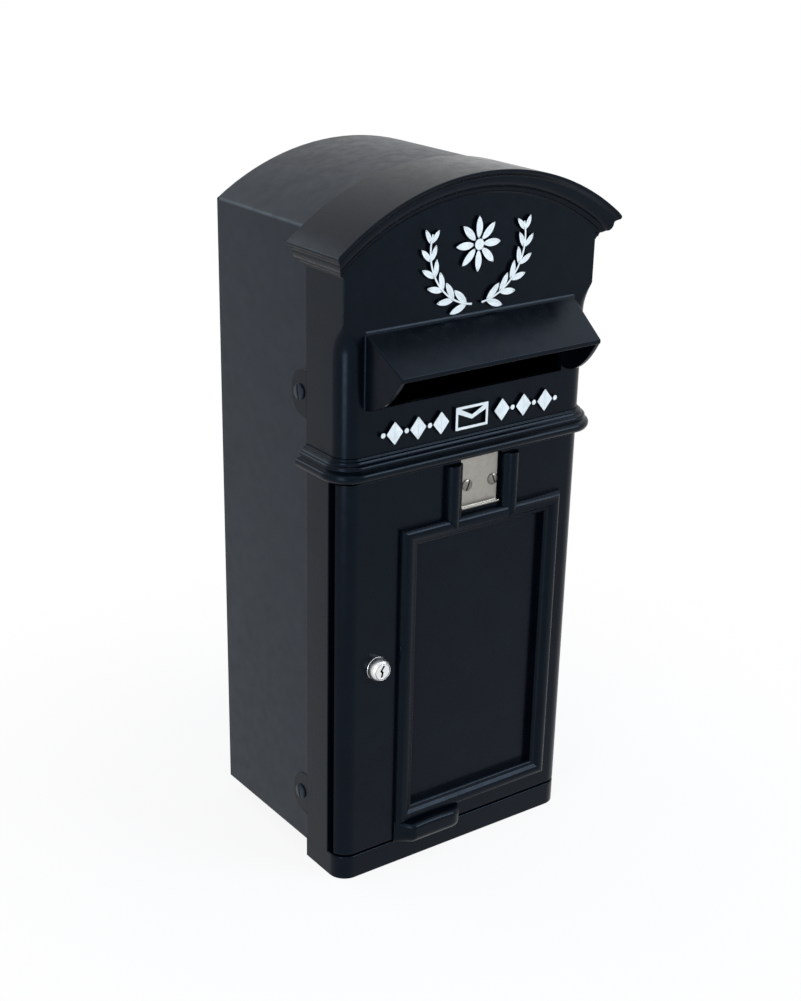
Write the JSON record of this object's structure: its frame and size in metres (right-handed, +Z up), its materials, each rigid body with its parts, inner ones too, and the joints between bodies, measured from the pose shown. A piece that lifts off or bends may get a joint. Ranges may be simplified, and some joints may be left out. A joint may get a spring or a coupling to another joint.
{
  "type": "letter box",
  "caption": "Wall letter box in black painted metal: cast front with an arched cornice, hooded slot and panelled hinged door with a cam lock, on a folded sheet casing.",
  "frame": {"origin": "under the middle of the whole box, at the height of the plinth's underside", "axes": "+Z up along the height, +Y back towards the wall, +X to the right seen from the front"},
  "size_m": [0.268, 0.2174, 0.58],
  "materials": {
    "black_enamel": "satin black enamel on a casting, raised ornament picked out in white",
    "black_sheet": "satin black powder coat on sheet steel",
    "black_screw": "painted over slotted screw",
    "zinc_steel": "bright zinc plate",
    "nylon": "natural nylon",
    "nickel_sheet": "brushed nickel plate",
    "lock_chrome": "polished chrome plate",
    "brass": "plain turned brass"
  },
  "bodies": {
    "box": {"front_casting": "black_enamel", "casing_wrap": "black_sheet", "back_panel": "black_sheet", "base_panel": "black_sheet", "casing_screws": "black_screw", "casing_nuts": "zinc_steel", "hinge_pin_top": "zinc_steel", "hinge_pin_bottom": "zinc_steel", "hinge_washers": "nylon"},
    "door": {"door": "black_enamel", "tab_plate": "nickel_sheet", "tab_screws": "nickel_sheet", "lock_housing": "lock_chrome", "lock_washer": "zinc_steel", "lock_nut": "brass"},
    "plug": {"lock_plug": "lock_chrome", "stop_washer": "zinc_steel", "lock_cam": "zinc_steel", "cam_screw": "zinc_steel"}
  },
  "joints": [
    {"name": "door_hinge", "type": "hinge", "parent": "box", "child": "door", "pos_m": [0.113, -0.0603, 0.188], "axis": [0, 0, 1], "range_deg": [0, 100]},
    {"name": "lock_turn", "type": "hinge", "parent": "door", "child": "plug", "pos_m": [-0.086, -0.0603, 0.193], "axis": [0, 1, 0], "range_deg": [0, 90]}
  ]
}
